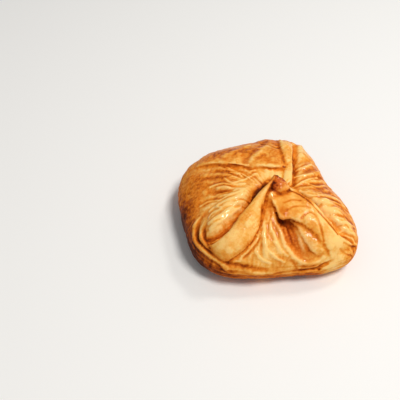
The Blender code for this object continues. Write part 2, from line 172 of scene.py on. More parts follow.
# Soft swellings of the flaps: plan place, height and half width.
SWELLINGS = (
    ((-13, -10), 1.6, 7), ((-20, -18), 2.4, 7.5), ((-26, -26), 2.4, 7), ((-32, -31), 1.6, 5),
    ((-22, 1), 0.8, 8), ((23, -10), 1.8, 5.5), ((31, -16), 2.8, 6.5), ((39, -24), 2.6, 6),
    ((45, -31), 1.6, 5), ((26, 2), 1.2, 6), ((30, 14), 1.4, 6), ((27, 30), 1.6, 8),
    ((-28, 26), 1.0, 8), ((4, 36), 1.4, 9), ((-12, 30), 0.9, 8), ((24, 41), 1.8, 6),
    ((2, 45), 0.8, 5), ((13.8, -12.5), 2.4, 3.0), ((12.3, -9.3), 2.6, 3.2),
    ((0.2, -17), 3.0, 3.5),
)

# The radial wrinkles' number in a turn about the knob, how far they sway, in how many bunches they
# come, where they start and end, and the distance over which they fade.
WRINKLES_PER_TURN = 31
WRINKLE_SWAY = 1.3
WRINKLE_BUNCHES = 5
WRINKLE_START = 14.0
WRINKLE_END = 46.0
WRINKLE_EASE = 8.0

# Lines drawn on the finished folds from above: plan path, rise, half width and browning. A darker
# line in a groove or crease is partly painted shade, a paler one on a crest partly a painted highlight.
SKIN_LINES = (
    # The bottoms of the grooves behind the pleat and the leaf, darker partly as painted shade in the
    # grooves.
    (((-1, -8.5), (-7, -14.5), (-11.5, -21), (-17.5, -28.5), (-23, -34.5), (-28.5, -38.5),
      (-34, -39), (-36.5, -36)), -0.3, 1.4, 0.08),
    (((-2.5, -8), (-7.5, -14.5), (-12.5, -21.5), (-17, -27.5)), 0, 2.6, 0.22),
    (((3, 1), (0, -2), (-3.3, -5.5), (-7, -10), (-11, -15)), 0, 1.9, 0.40),
    (((-3, -14.5), (-0.4, -11.8), (1.5, -9.2), (3, -7.2)), 0.3, 1.3, -0.46),
    (((14, -11.5), (20, -15.5), (25.5, -20.5), (30.5, -26), (34.5, -31), (38.5, -34.5),
      (45, -38)), -0.2, 0.9, 0.20),
    # The leaf's crest.
    (((13.5, -14), (16.5, -15.5), (19.5, -17.6), (22.8, -20.8), (25.6, -24.4), (28, -27.8),
      (30.5, -31), (33, -33.8), (36, -36.6), (38.5, -38.5)), -0.4, 0.8, 0.42),
    # The right flap's pale edge beside the leaf.
    (((18, -10.5), (24, -14.5), (29, -19), (33.5, -24), (38, -29), (43, -33)), 0, 2.6, -0.06),
    # The front lip's paler top, partly a painted highlight.
    (((-34, -47.5), (-24, -52), (-13, -53.5), (-3, -53.5), (7, -53), (17, -52.5), (26, -51.5)),
     0, 2.0, -0.10),
    # Between the pleat and the front flap, and beside the narrow pleat.
    (((-4.2, -25), (-5.2, -32.3), (-8, -39.2), (-12, -44.4), (-17.3, -48.3), (-24, -50.8)),
     -0.2, 1.3, 0.13),
    (((-4.2, -36.5), (-7.2, -43), (-10.8, -47), (-15, -49.8)), -0.2, 0.8, 0.12),
    # Above the lip, its reddish end, and a paler line on the lip's crest that is a painted highlight.
    (((-29, -48.6), (-23, -51.2), (-14, -52.6)), 0, 1.3, 0.10),
    (((17, -52), (21, -51.6), (26, -50.8), (31.5, -49.5), (33.5, -48.8)), -0.3, 0.9, 0.28),
    (((-24, -52.5), (-13, -53.8), (-3, -54), (8, -53.6)), 0.5, 1.1, -0.12),
    (((12, -50), (20, -53), (28, -53)), -0.3, 0.9, 0.14),
    # The rolled layers' grooves.
    (((-36.8, -33), (-37.3, -36.5), (-36.2, -40), (-33.5, -43.5)), 0, 1.2, 0.16),
    (((-41, -29), (-41.3, -33), (-40.2, -37), (-37, -41.5), (-33, -45.5)), 0, 1.1, 0.08),
    # The leaf's inner crease.
    (((17.5, -32.5), (21.9, -29.2), (25.7, -30.8), (28.2, -36), (30, -43)), -0.3, 0.7, 0.10),
    (((10, -28), (14, -26), (19, -25.5), (23, -26)), -0.2, 0.8, 0.07),
    (((8.5, -23.5), (13, -21.5), (18, -21.5)), -0.2, 0.8, 0.06),
    # Dips between the right flap's bulges.
    (((31, -20.5), (36, -20), (41, -18.5), (45, -18)), -0.5, 1.4, 0.12),
    (((35.5, -26), (40, -26), (45, -25), (50, -25)), -0.5, 1.4, 0.12),
    (((39, -31.5), (44, -31.5), (50, -30.5)), -0.4, 1.2, 0.10),
    # Wrinkles at the right corner.
    (((40, -44), (44, -44), (48, -42.5)), -0.3, 0.8, 0.06),
    (((42, -41.5), (46, -40.5), (50, -38)), -0.3, 0.8, 0.08),
    # Creases of the back sheet, its folded corner, a crack and a small hole.
    (((-12, 15), (-10, 20), (-5.5, 25.5), (-1, 32.5), (3, 40)), -0.4, 2.2, 0.08),
    (((-9, 15), (-6, 20), (-1, 25.5), (4, 32)), 0.5, 2.4, -0.16),
    (((-24, 22), (-17, 27), (-10, 34)), 0.4, 2.2, -0.12),
    (((0, 36), (5.5, 31.5), (8.3, 29.5), (10.7, 31)), -0.4, 1.0, 0.10),
    (((2, 9.5), (7, 8.7), (11, 9.5)), 0, 0.8, 0.06),
    (((-25.6, 3), (-19.5, 3.3), (-14.5, 4.2)), -0.3, 0.6, 0.10),
    (((-14.5, 4.6), (-13.5, 3.8), (-12.5, 2.8)), -0.4, 0.6, 0.35),
    (((11.5, 10.9), (12.1, 10.7)), -1.0, 0.7, 0.4),
    # The knob's dimple, and the folds round it.
    (((2.3, -15.6), (2.6, -15.8), (3.1, -16)), -0.4, 0.8, 0.12),
    (((5.5, -17.2), (8, -16.6), (10.5, -15.2), (12.5, -13.6)), -0.2, 0.9, 0.10),
    (((3.6, -6.4), (7.2, -6.8), (10.4, -8.6)), 0, 1.4, 0.26),
)

# Raised wrinkles of the flaps, from above: their plan paths, and the rise, half width and
# browning of each. Their paler browning is a painted highlight along each ridge.
WRINKLE_RISE = 0.50
WRINKLE_HALF_WIDTH = 0.85
WRINKLE_TONE = -0.08
WRINKLES = (
    # The left flap.
    ((-34, -22), (-31, -20.5), (-27.5, -22.5)),
    ((-34.5, -26.5), (-32, -24.5), (-28, -24)),
    ((-43.5, -27), (-41.5, -25), (-39.5, -23.5)),
    ((-28.5, -16), (-26, -15.5), (-21.5, -13.5), (-15, -10.5)),
    ((-29.5, -20), (-24, -18), (-18, -15.5)),
    ((-29, -5.5), (-25, -5.5), (-22.5, -7)),
    ((-34.5, -31), (-29.5, -29), (-24.5, -26), (-18, -19.5)),
    ((-34, -34), (-28, -31.5), (-22, -27), (-16, -20.5)),
    ((-39.5, -15.5), (-34.5, -14), (-29.5, -15)),
    ((-33.5, -3), (-26.5, -2.5), (-19.5, -4.5), (-13, -4)),
    # Behind the knob.
    ((-25.5, 3), (-20.5, -3), (-13.5, -0.5), (-6, 5)),
    ((-25, 7.5), (-19.5, 6), (-14.5, 4)),
    ((-8.5, 7.5), (-2.5, 9), (4, 6.5)),
    # The right flap.
    ((17.5, 3.5), (25, 5.5), (29.5, 8.5)),
    ((19.5, 10.5), (26.5, 14.5), (30, 18)),
    ((15.5, -6.5), (24.5, 0.5), (32, 6.5)),
    ((25.5, -3), (31, -3.5), (36.5, 1)),
    ((19.5, -10), (26.5, -14.5), (38, -11.5), (42, -10.5)),
    ((29, -19.5), (35, -16), (43, -14.5)),
    ((34.5, -33.5), (42, -30), (50, -27.5)),
    ((37.5, -36), (43.5, -33), (49.5, -33)),
    ((41, -40.5), (46, -40), (51, -36.5)),
    # The front flap, above the lip.
    ((2, -43.5), (5.5, -46.5), (9.5, -48.5)),
    ((-2, -47), (3, -49.5), (8, -50.5)),
    ((-8, -48), (-5, -50.5), (0, -51.5)),
)

# Where the crust is paler or browner, partly for its bake and partly as painted light and painted
# shade: plan place, radius and change of browning.
BAKE_AND_LIGHT_SPOTS = (
    # The left flap, darker down its left flank partly as painted shade.
    (-15, -12, 6, -0.22), (-21, -20, 6, -0.24), (-28, -27, 6, -0.20), (-26, -14, 5, -0.20),
    (-31, -17, 4, -0.12), (-33, -19, 4, -0.18), (-23, -28, 4, -0.20), (-30, -35, 4, -0.20),
    (-38, -12, 7, 0.06), (-34, -5, 5, 0.05), (-24, 5, 6, 0.14), (-46, -4, 14, 0.16),
    (-9.5, -8.5, 3.5, 0.16),
    # Behind the knob, paler as painted light where the knob's shade falls.
    (-2, 3, 7, -0.24), (8, 3, 5, -0.36), (2, 8, 5, -0.32), (7, 6.5, 3, -0.16), (13, 4, 5, -0.22),
    # The back, darker at the back left partly as painted shadow of a neighbouring pastry.
    (15, 30, 6, -0.06), (26, 32, 6, -0.10), (23, 25, 4, -0.10), (-30, 28, 10, 0.06),
    (-20, 28, 6, 0.24), (-31, 27, 6, 0.30), (-8, 31, 6, 0.10), (-8, 18, 5, 0.06),
    (0, 46, 8, 0.22), (-22, 42, 8, 0.16), (-8, 44, 6, 0.12), (18, 46, 5, 0.14),
    # The right flap, with a painted highlight at 33, -23.
    (33, -23, 6, -0.46), (38, -21, 4, -0.14), (27, -15, 4, -0.08), (42, -31, 5, -0.18),
    (14, -10, 3, -0.5), (27, -5, 5, 0.10), (30, 12, 6, 0.16), (30, -3, 4, 0.14),
    (40, -4, 5, 0.14), (36, 1, 4, 0.08), (48, -12, 5, 0.12), (18, -7, 4, 0.10), (35, -6, 6, 0.16),
    # The pleat.
    (-14, -34, 6, -0.20), (-10, -38, 4, -0.18), (-15, -44, 4, -0.12), (-20, -48, 4, -0.12),
    (-21, -42, 6, -0.12), (-27, -44, 5, -0.16),
    # The front flap.
    (-4, -41, 8, -0.24), (-3, -49, 5, -0.34), (3, -46, 5, -0.10), (7, -46, 5, -0.12),
    (13, -50, 4, -0.10), (-4, -18, 4, 0.08), (1, -20, 4, 0.06), (0, -27, 4, 0.10),
    (4, -30, 3, 0.08), (9, -29, 3, 0.10), (3.5, -31, 4, 0.12), (5.5, -37, 3.5, 0.14),
    # The leaf.
    (12, -22, 6, -0.20), (18, -26, 4, -0.06), (21, -32, 4, -0.10), (29, -35, 5, -0.08),
    (25, -24, 4, 0.06), (27.5, -31, 4, 0.10), (32, -31, 4, 0.04), (31, -37, 3.5, 0.10),
    # The hollow and the layer under the leaf.
    (8, -34, 5, 0.16), (12, -42, 5, 0.10), (11, -31, 3, -0.10), (15, -35, 3, -0.12),
    (17, -38, 3, -0.16), (17, -41, 4, -0.06), (18, -43, 3, -0.16), (20, -41, 4, -0.16),
    (25, -46, 4, -0.26),
    # The lip and the front corners, darker at the front left partly as painted shade.
    (34, -47, 6, -0.24), (42, -43, 6, -0.26), (38, -48.5, 6, -0.24), (12, -52, 5, -0.16),
    (-10, -53, 7, -0.04), (26, -50, 4, 0.12), (-20, -53, 4, 0.10), (-41, -37, 5, 0.12),
    (-36, -43, 5, 0.10),
)

# Plan places of the redder crust in the hollow, and of the wettest egg wash with its radius.
RED_SPOTS = ((8, -35), (12, -40), (18, -45))
WET_SPOTS = ((5, -47, 7), (33, -18, 9))

# Fine lines at a share of the way from a fold's one edge to the other: both edges, the share,
# rise, half width and browning. The dark lines along crests and edges are partly the browner bake
# of thin dough and partly painted shade beside the folds.
EDGE_LINES = (
    (PLEAT_CREST, PLEAT_FOOT, 0.0, 0.2, 2.5, 0.32),
    (PLEAT_CREST, PLEAT_FOOT, 0.20, -0.3, 0.5, 0.10),
    (LEAF_CREST, LEAF_TEAR, 0.0, 0.0, 1.0, 0.40),
    (LEAF_CREST, LEAF_TEAR, 0.14, -0.3, 0.5, 0.12),
    (LEAF_CREST, LEAF_TEAR, 1.0, 0.0, 0.5, 0.14),
    (UNDERLEAF_CREST, UNDERLEAF_TEAR, 1.0, 0.0, 0.6, 0.18),
    (SHEET_EDGE, SHEET_BACK, 0.0, 0.0, 0.7, 0.14),
    (STRAP_LEFT, STRAP_RIGHT, 0.0, -0.1, 0.8, 0.03),
    (STRAP_LEFT, STRAP_RIGHT, 0.5, 0.0, 4.0, 0.06),
    (STRAP_LEFT, STRAP_RIGHT, 1.0, -0.1, 1.6, 0.02),
)

# The browned part of the knob, its very tip, and the direction in which its back faces.
KNOB_MIDDLE = (4.6, -9.6, 42.0)
KNOB_REACH = 7.5
KNOB_TIP = (3.4, -6.4, 45.0)
KNOB_BACK = (0.62, 0.68, 0.38)

# Sizes, along x, y and z, of the finest grain and of the thin layers that show at the sides.
GRAIN_SIZE = (1.6, 1.6, 1.1)
LAYER_SIZE = (16.0, 16.0, 1.3)

# Points along a drawn line and along a valley or ridge, and cells along a side of the plan.
LINE_POINTS = 40
CREASE_POINTS = 30
PLAN_CELLS = 130

# How much one round of smoothing moves a point, and the rounds that take out the voxels' steps
# and that leave only the broad or the fairly fine forms.
SMOOTHING = 0.6
VOXEL_ROUNDS = 2
BROAD_ROUNDS = 60
FINE_ROUNDS = 8

# How much paler a raised edge is painted for each millimetre that it stands out, and the lowest
# and highest stand that count. Paler raised edges are partly the thin crust's own tone and partly a
# painted highlight; darker sunk spots are partly painted shade.
EDGE_PALENESS = 2.1
EDGE_STAND = (-0.08, 0.14)

# The camera that matches the pastry's framing: how steeply it looks down, its distance from the
# middle, its focal length in pixels of a square picture, and where the middle falls in it.
CAMERA_DROP = 46.0
CAMERA_DISTANCE = 420.0
FOCAL_PIXELS = 656.25
PICTURE_PIXELS = 400
MIDDLE_PIXEL = (262.0, 219.2)
SENSOR_WIDTH = 36.0


def colour(name, description, default):
    return FloatVectorProperty(
        name=name, description=description, default=default,
        size=3, min=0, max=1, subtype="COLOR")


class PastrySettings(bpy.types.PropertyGroup):
    fineness: FloatProperty(
        name="Crust fineness", description="Size of the crust's facets",
        default=0.00064, min=0.0004, unit="LENGTH")
    wrinkle_height: FloatProperty(
        name="Wrinkle height", description="Height of the wrinkles that run to the knob",
        default=0.0005, min=0.0, unit="LENGTH")
    blisters: IntProperty(
        name="Blisters", description="Number of small bubbles in the crust", default=170, min=0)
    bake: FloatProperty(
        name="Bake", description="How much darker than usual the crust is baked",
        default=0.0, min=-0.5, max=0.5, subtype="FACTOR")
    pale: colour("Pale", "Least baked crust", (1.0, 0.620, 0.205))
    golden: colour("Golden", "Lightly baked crust", (0.885, 0.392, 0.064))
    amber: colour("Amber", "Crust of middling bake", (0.75, 0.205, 0.013))
    brown: colour("Brown", "Well baked crust", (0.40, 0.072, 0.004))
    dark: colour("Dark", "Darkest edges of the crust", (0.10, 0.016, 0.002))
    table: colour("Table", "Colour of the table", (0.90, 0.90, 0.89))
    key_power: FloatProperty(
        name="Key light", description="Power of the soft light from the right",
        default=11.0, min=0.0, unit="POWER")
    rear_power: FloatProperty(
        name="Rear light", description="Power of the soft light from behind",
        default=2.2, min=0.0, unit="POWER")
    sky: FloatProperty(
        name="Room light", description="Strength of the light from all round", default=0.30, min=0.0)


def ramp(values, start, end):
    """0 up to the start, 1 past the end, and in proportion between them."""
    return np.clip((values - start) / (end - start), 0, 1)


def bell(gaps, width, power=2):
    """1 at no gap, fading to 0 over the width."""
    return np.exp(-(np.abs(gaps / width) ** power))


def plan_radius(x, y):
    """Distance from the middle to the outline in the direction of x, y."""
    angle = np.arctan2(y, x)
    total = sum(
        (np.maximum(np.cos(angle - math.radians(facing)), 0.0) / distance) ** CORNER_SHARPNESS
        for facing, distance in SIDES
    )
    radius = total ** (-1.0 / CORNER_SHARPNESS)
    for direction, spread, amount in OUTLINE_SWELLS:
        turn = np.degrees(angle) - direction
        radius = radius + amount * bell(turn, spread)
    return radius


def pillow_height(x, y):
    """Height of the plain pillow's top at a plan position."""
    share = np.minimum(np.hypot(x, y) / plan_radius(x, y), 1.0)
    rise = np.sqrt(1.0 - share**CROWN_FULLNESS)
    return WAIST_HEIGHT + (CROWN_HEIGHT - WAIST_HEIGHT) * rise


def pillow_normal(x, y):
    """Outward direction of the pillow's top at a plan position."""
    step = 0.5
    slope_x = (pillow_height(x + step, y) - pillow_height(x - step, y)) / (2 * step)
    slope_y = (pillow_height(x, y + step) - pillow_height(x, y - step)) / (2 * step)
    normal = np.stack([-slope_x, -slope_y, np.ones_like(slope_x)], axis=-1)
    return normal / np.linalg.norm(normal, axis=-1, keepdims=True)


def along_curve(knots, places):
    """Points at the places, from 0 to 1, of a smooth curve through the knots."""
    knots = np.asarray(knots, float)
    spans = len(knots) - 1
    knots = np.vstack([2 * knots[0] - knots[1], knots, 2 * knots[-1] - knots[-2]])
    place = np.clip(np.asarray(places) * spans, 0, spans - 1e-9)
    first = place.astype(int)
    t = (place - first)[:, None]
    a, b, c, d = (knots[first + shift] for shift in range(4))
    bend = 2 * a - 5 * b + 4 * c - d
    twist = 3 * b - a - 3 * c + d
    return 0.5 * (2 * b + (c - a) * t + bend * t**2 + twist * t**3)


def lifted(path):
    """Points that lie above the pillow, from rows of x, y and lift."""
    x, y, lift = path.T
    base = np.stack([x, y, pillow_height(x, y)], axis=-1)
    return base + pillow_normal(x, y) * lift[:, None]


def near_line(points, line, sizes, half_width):
    """The sizes along a line, faded out to the sides, at each of the points."""
    most = np.zeros(len(points))
    low, high = line.min(axis=0) - 3 * half_width, line.max(axis=0) + 3 * half_width
    close = np.flatnonzero(((points > low) & (points < high)).all(axis=1))
    here = points[close]
    found = np.zeros(len(close))
    for start, end, size_a, size_b in zip(line[:-1], line[1:], sizes[:-1], sizes[1:]):
        along = end - start
        share = np.clip((here - start) @ along / (along @ along), 0.0, 1.0)
        gap = np.linalg.norm(here - start - share[:, None] * along, axis=1)
        size = size_a + (size_b - size_a) * share
        found = np.maximum(found, size * bell(gap, half_width))
    most[close] = found
    return most


def crease(points, knots, half_width):
    """Depth or height, at each of the points, of a valley or ridge along the knots."""
    x, y, size = along_curve(knots, np.linspace(0, 1, CREASE_POINTS)).T
    line = np.stack([x, y, pillow_height(x, y)], axis=-1)
    return near_line(points, line, size, half_width)


def about_knob(points):
    """Plan distance of each point from the knob, and its direction, clockwise from the front."""
    x, y = points[:, 0] - TENT_FOOT[0], points[:, 1] - TENT_FOOT[1]
    return np.hypot(x, y), np.arctan2(-x, -y)


def in_front_flap(points):
    """1 in the middle of the front flap, fading to 0 past its sides."""
    _, turn = about_knob(points)
    return bell(np.degrees(turn), TENT_SPREAD, 4)


def spot(points, x, y, radius):
    """1 at a plan place, fading to 0 over the radius."""
    return bell(np.hypot(points[:, 0] - x, points[:, 1] - y), radius)


def tent_lift(points):
    """Rise of the front flap towards the knob."""
    away, _ = about_knob(points)
    near = bell(away, TENT_ROUND)
    return TENT_RISE * bell(away, TENT_REACH, 1.4) * np.maximum(in_front_flap(points), near)


def wrinkle_lift(points, height):
    """Ridges of the side and back flaps that run towards the knob."""
    away, turn = about_knob(points)
    sway = WRINKLE_SWAY * np.sin(away / 6.0 + 2 * np.sin(3 * turn))
    bunches = np.sin(WRINKLE_BUNCHES * turn + away / 11.0)
    wave = np.sin(WRINKLES_PER_TURN * turn + sway) * bunches
    begun = ramp(away, WRINKLE_START, WRINKLE_START + WRINKLE_EASE)
    ended = ramp(away, WRINKLE_END, WRINKLE_END - WRINKLE_EASE)
    return height * wave * begun * ended * (1 - in_front_flap(points))


def relief(points, wrinkle_height):
    """Lift of the pillow's skin at each point of its top."""
    lift = tent_lift(points) + wrinkle_lift(points, wrinkle_height)
    for (x, y), height, half_width in SWELLINGS:
        lift += height * spot(points, x, y, half_width)
    ridges = [crease(points, knots, half_width) for knots, half_width in RIDGES]
    valleys = [crease(points, knots, half_width) for knots, half_width in VALLEYS]
    return lift + np.max(ridges, axis=0) - np.max(valleys, axis=0)


class Grain:
    """Smooth noise, the same each time, between about -1 and 1."""

    def __init__(self, seed):
        random = np.random.default_rng(seed)
        self.order = random.permutation(256)
        slopes = random.normal(size=(256, 3))
        self.slopes = slopes / np.linalg.norm(slopes, axis=1, keepdims=True)

    def at(self, points):
        cell = np.floor(points).astype(int)
        inside = points - cell
        ease = inside**3 * (inside * (inside * 6 - 15) + 10)
        total = np.zeros(len(points))
        for corner in itertools.product((0, 1), repeat=3):
            x, y, z = ((cell + corner) & 255).T
            slope = self.slopes[self.order[(self.order[(self.order[x] + y) & 255] + z) & 255]]
            weight = np.prod(np.where(corner, ease, 1 - ease), axis=1)
            total += weight * (slope * (inside - corner)).sum(axis=1)
        return 1.6 * total

    def layered(self, points, layers):
        return sum(self.at(points * 2.03**i + 17.3 * i) / 2**i for i in range(layers))


def shaped(bm, points):
    """Moves the mesh's points to those given in millimetres."""
    for vert, point in zip(bm.verts, points):
        vert.co = point * MM
    bm.normal_update()


def pillow(wrinkle_height):
    """The filled parcel with its valleys, without its folds."""
    bm = bmesh.new()
    bmesh.ops.create_icosphere(bm, subdivisions=7, radius=1.0)
    x, y, z = np.array([vert.co for vert in bm.verts]).T
    share = np.minimum(np.hypot(x, y), 1.0)
    radius = plan_radius(x, y)
    x, y = x * radius, y * radius
    overhang = np.clip((share - FOOT_SHARE) / (1 - FOOT_SHARE), 0, 1)
    below = WAIST_HEIGHT * (1 - np.sqrt(1 - overhang**2))
    points = np.stack([x, y, np.where(z >= 0, pillow_height(x, y), below)], axis=-1)
    shaped(bm, points)
    normals = np.array([vert.normal for vert in bm.verts])
    fade = np.where(z > 0, 1.0, ramp(points[:, 2], PLAIN_FOOT, WAIST_HEIGHT))
    lift = relief(points, wrinkle_height) * fade
    shaped(bm, points + normals * lift[:, None])
    return bm


def sheet(edge_a, edge_b, crown, thick_a, thick_b, ragged=0.0):
    """A fold between two edges, crowned between them and solid down to its thickness."""
    bm = bmesh.new()
    bmesh.ops.create_grid(bm, x_segments=150, y_segments=30, size=0.5)
    u, v, _ = (np.array([vert.co for vert in bm.verts]) + 0.5).T
    a = along_curve(edge_a, u)
    b = along_curve(edge_b, u)
    tear = Grain(5).layered(np.stack([u * TEARS_PER_EDGE, 0 * u, 0 * u], axis=-1), 3)
    across = (b - a) / np.linalg.norm((b - a)[:, :2], axis=1, keepdims=True)
    path = a + (b - a) * v[:, None] + across * (ragged * tear * v**4)[:, None]
    path[:, 2] += crown * 4 * v * (1 - v) * (1 - (2 * u - 1) ** 6)
    down = pillow_normal(path[:, 0], path[:, 1]) * (thick_a + (thick_b - thick_a) * v)[:, None]
    top = lifted(path)
    shaped(bm, top)
    made = bmesh.ops.extrude_face_region(bm, geom=list(bm.faces), use_keep_orig=True)
    lower = [item for item in made["geom"] if isinstance(item, bmesh.types.BMVert)]
    for vert, point in zip(lower, top - down):
        vert.co = point * MM
    return bm


def ball():
    """A round of unit size, and its points."""
    bm = bmesh.new()
    bmesh.ops.create_icosphere(bm, subdivisions=5, radius=1.0)
    return bm, np.array([vert.co for vert in bm.verts])


def knob():
    """The round lobe, with the beak drawn out of it."""
    bm, unit = ball()
    centre = np.array(LOBE_CENTRE)
    skin = unit * LOBE_RADII
    beak = BEAK_TIP - centre
    towards = np.maximum(unit @ (beak / np.linalg.norm(beak)), 0.0) ** BEAK_SHARPNESS
    shaped(bm, centre + skin + (beak - skin) * towards[:, None])
    return bm


def throat():
    """The gathered dough between the knob and the pleat."""
    bm, unit = ball()
    shaped(bm, THROAT_CENTRE + unit * THROAT_RADII)
    return bm


def largest_shell(bm):
    """Drops every loose scrap and sealed hollow."""
    unseen = set(bm.verts)
    shells = []
    while unseen:
        shell = {unseen.pop()}
        front = list(shell)
        while front:
            vert = front.pop()
            for edge in vert.link_edges:
                other = edge.other_vert(vert)
                if other in unseen:
                    unseen.remove(other)
                    shell.add(other)
                    front.append(other)
        shells.append(shell)
    if not shells:
        raise RuntimeError("the folds left no skin to bake")
    shells.sort(key=len)
    spare = [vert for shell in shells[:-1] for vert in shell]
    bmesh.ops.delete(bm, geom=spare, context="VERTS")


def fused(pieces, fineness):
    """One closed skin round all the pieces, with even facets."""
    mesh = bpy.data.meshes.new("folds")
    joined = bmesh.new()
    for bm in pieces:
        bmesh.ops.recalc_face_normals(bm, faces=bm.faces)
        bm.to_mesh(mesh)
        bm.free()
        joined.from_mesh(mesh)
    joined.to_mesh(mesh)
    joined.free()
    obj = bpy.data.objects.new("folds", mesh)
    bpy.context.scene.collection.objects.link(obj)
    remesh = obj.modifiers.new("Fuse", "REMESH")
    remesh.mode = "VOXEL"
    remesh.voxel_size = fineness
    bpy.context.view_layer.update()
    graph = bpy.context.evaluated_depsgraph_get()
    skin = bpy.data.meshes.new_from_object(obj.evaluated_get(graph))
    bpy.data.objects.remove(obj)
    bm = bmesh.new()
    bm.from_mesh(skin)
    largest_shell(bm)
    bmesh.ops.recalc_face_normals(bm, faces=bm.faces)
    bm.to_mesh(skin)
    bm.free()
    return skin


class Skin:
    """The crust's points in millimetres, with their neighbours and outward directions."""

    def __init__(self, mesh):
        self.mesh = mesh
        count = len(mesh.vertices)
        flat = np.empty(count * 3)
        mesh.vertices.foreach_get("co", flat)
        self.points = flat.reshape(-1, 3) / MM
        ends = np.empty(len(mesh.edges) * 2, int)
        mesh.edges.foreach_get("vertices", ends)
        self.ends = ends.reshape(-1, 2)
        self.neighbours = np.bincount(ends, minlength=count)
        faces = [face.vertices[:] for face in mesh.polygons]
        self.tree = BVHTree.FromPolygons(self.points.tolist(), faces)

    def smoothed(self, values, rounds):
        """The values, each moved towards its neighbours' mean that many times."""
        values = values.reshape(len(self.points), -1)
        a, b = self.ends.T
        for _ in range(rounds):
            total = np.stack([
                np.bincount(a, column[b], len(values)) + np.bincount(b, column[a], len(values))
                for column in values.T
            ], axis=-1)
            mean = total / self.neighbours[:, None]
            values = (1 - SMOOTHING) * values + SMOOTHING * mean
        return values

    def standing_out(self, rounds):
        """How far each point stands out from the skin smoothed that many times."""
        gap = self.points - self.smoothed(self.points, rounds)
        return (gap * self.normals()).sum(axis=1)

    def laid(self, path):
        """A smooth line through plan places, dropped on the skin from above."""
        line = []
        for x, y in along_curve(path, np.linspace(0, 1, LINE_POINTS)):
            hit = self.tree.ray_cast(Vector((x, y, 99)), Vector((0, 0, -1)))[0]
            if hit is not None:
                line.append(hit)
        line = np.array(line)
        for _ in range(6):
            line[1:-1] = (line[:-2] + 2 * line[1:-1] + line[2:]) / 4
        return line

    def normals(self):
        """The outward direction at each of the points."""
        self.write()
        flat = np.empty(len(self.points) * 3)
        self.mesh.vertices.foreach_get("normal", flat)
        return flat.reshape(-1, 3)

    def write(self):
        """Puts the points back in the mesh."""
        self.mesh.vertices.foreach_set("co", (self.points * MM).ravel())
        self.mesh.update()

    def store(self, name, values):
        """Keeps a value for each point, for the material to read."""
        attribute = self.mesh.attributes.new(name, "FLOAT", "POINT")
        attribute.data.foreach_set("value", values.astype(np.float32))


def between(edge_a, edge_b, share):
    """The points on a fold at a share of the way from one edge to the other."""
    places = np.linspace(0, 1, LINE_POINTS)
    a, b = along_curve(edge_a, places), along_curve(edge_b, places)
    return lifted(a + (b - a) * share)


def blister_lift(points, count):
    """Small bubbles on the top and sides."""
    random = np.random.default_rng(11)
    lift = np.zeros(len(points))
    tops = np.flatnonzero(points[:, 2] > 8)
    for index in random.choice(tops, count):
        radius = random.uniform(0.9, 2.6)
        height = random.uniform(0.06, 0.16) * radius
        gap = points - points[index]
        close = np.flatnonzero(np.abs(gap).max(axis=1) < 2 * radius)
        lift[close] += height * bell(np.linalg.norm(gap[close], axis=1), radius, 4)
    return lift


def footprint(points, edge_a, edge_b):
    """1 under or on a fold in plan, fading to 0 outside it, on a plan of 1 mm cells."""
    shares = np.linspace(0, 1, LINE_POINTS)
    fold = np.concatenate([between(edge_a, edge_b, share) for share in shares])
    grid = np.zeros((PLAN_CELLS, PLAN_CELLS))
    cells = np.floor(fold[:, :2]).astype(int) + PLAN_CELLS // 2
    grid[cells[:, 0], cells[:, 1]] = 1
    for _ in range(2):
        grid = (grid + np.roll(grid, 1, 0) + np.roll(grid, -1, 0)
                + np.roll(grid, 1, 1) + np.roll(grid, -1, 1)) / 5
    places = np.floor(points[:, :2]).astype(int) + PLAN_CELLS // 2
    places = np.clip(places, 0, PLAN_CELLS - 1)
    return grid[places[:, 0], places[:, 1]]


